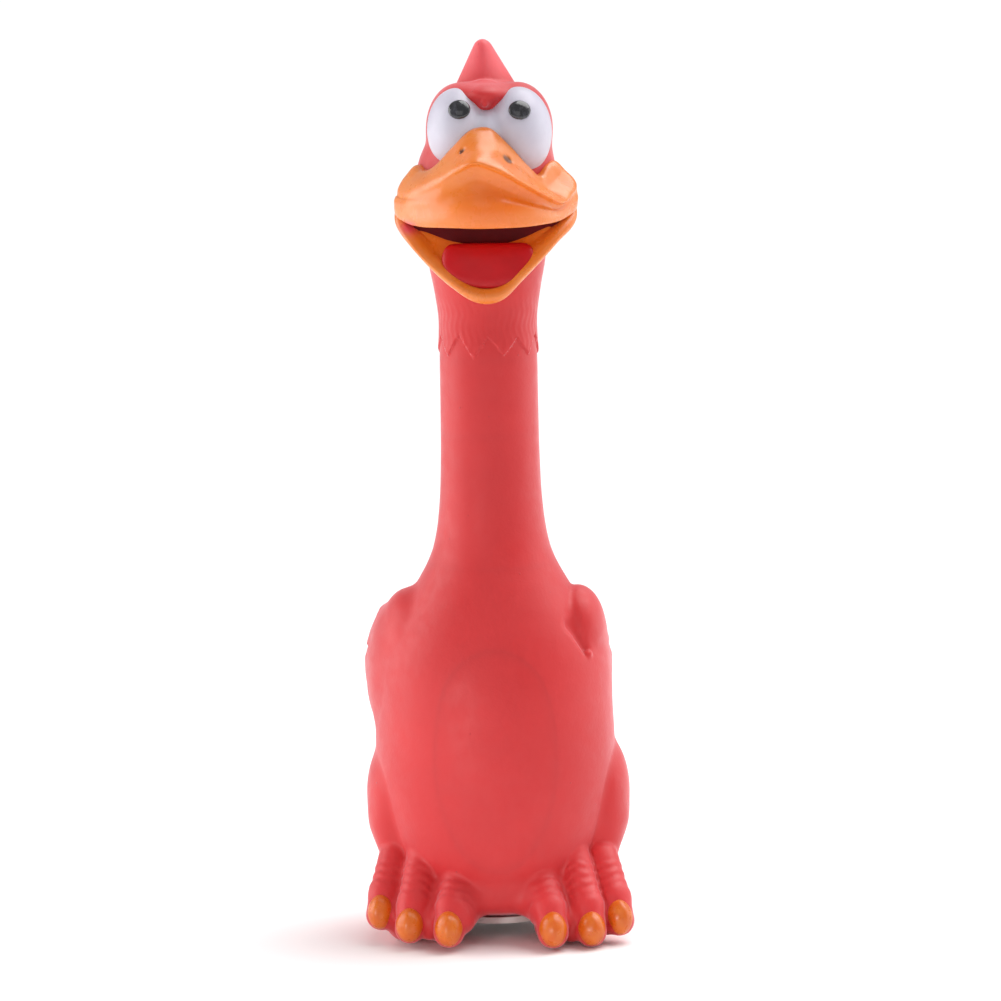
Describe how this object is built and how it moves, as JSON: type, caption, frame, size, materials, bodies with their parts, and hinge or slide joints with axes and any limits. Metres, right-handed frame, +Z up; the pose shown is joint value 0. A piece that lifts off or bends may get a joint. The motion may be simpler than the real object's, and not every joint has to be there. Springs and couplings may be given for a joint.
{
  "type": "squeaky rubber chicken",
  "caption": "Long-necked rubber chicken toy that stands on its feet, with a pressable belly, a bending neck, a turning head and a reed squeaker in its base.",
  "frame": {"origin": "on the floor, at the centre of the toy's footprint", "axes": "+Z up, from the soles to the comb; the toy faces -Y; +X is the toy's own left"},
  "size_m": [0.0642, 0.0701, 0.2175],
  "materials": {
    "skin": "matte moulded rubber",
    "comb": "matte moulded rubber",
    "orange_paint": "satin paint on rubber",
    "white_paint": "satin paint on rubber",
    "black_paint": "gloss paint on rubber",
    "red_paint": "satin paint on rubber",
    "dark_paint": "matte paint on rubber",
    "squeaker_plastic": "moulded",
    "reed_brass": "rolled"
  },
  "bodies": {
    "torso": {"torso_skin": "skin", "belly_flex_ring": "skin", "left_wing": "skin", "right_wing": "skin", "left_thigh": "skin", "right_thigh": "skin", "left_foot": "skin", "right_foot": "skin", "left_claws": "orange_paint", "right_claws": "orange_paint", "tail_tuft": "skin", "lower_neck_flex": "skin", "squeaker_barrel": "squeaker_plastic", "squeaker_cap": "squeaker_plastic", "reed_block": "squeaker_plastic", "reed_clip": "reed_brass"},
    "belly": {"belly_panel": "skin"},
    "reed": {"reed": "reed_brass"},
    "lower_neck": {"lower_neck_skin": "skin"},
    "upper_neck": {"upper_neck_flex": "skin", "upper_neck_skin": "skin"},
    "head": {"head_skin": "skin", "comb": "comb", "left_eye": "white_paint", "right_eye": "white_paint", "left_pupil": "black_paint", "right_pupil": "black_paint", "upper_beak": "orange_paint", "lower_beak": "orange_paint", "mouth_lining": "dark_paint", "tongue": "red_paint"}
  },
  "joints": [
    {"name": "neck_bow", "type": "hinge", "parent": "torso", "child": "lower_neck", "pos_m": [0, 0, 0.102], "axis": [1, 0, 0], "range_deg": [-60, 60], "stiffness_Nm_per_rad": 0.17, "deforming": ["lower_neck_flex"]},
    {"name": "neck_sway", "type": "hinge", "parent": "lower_neck", "child": "upper_neck", "pos_m": [0, 0, 0.129], "axis": [0, 1, 0], "range_deg": [-50, 50], "stiffness_Nm_per_rad": 0.14, "deforming": ["upper_neck_flex"]},
    {"name": "head_turn", "type": "hinge", "parent": "upper_neck", "child": "head", "pos_m": [0, 0, 0.144], "axis": [0, 0, 1], "range_deg": [-50, 50], "stiffness_Nm_per_rad": 0.12},
    {"name": "belly_press", "type": "slide", "parent": "torso", "child": "belly", "axis": [0, 1, 0], "range_m": [0, 0.007], "stiffness_N_per_m": 500, "deforming": ["belly_flex_ring"]},
    {"name": "reed_beat", "type": "hinge", "parent": "torso", "child": "reed", "pos_m": [0, -0.0006, 0.031], "axis": [1, 0, 0], "range_deg": [-1.4, 3], "stiffness_Nm_per_rad": 0.0001}
  ]
}
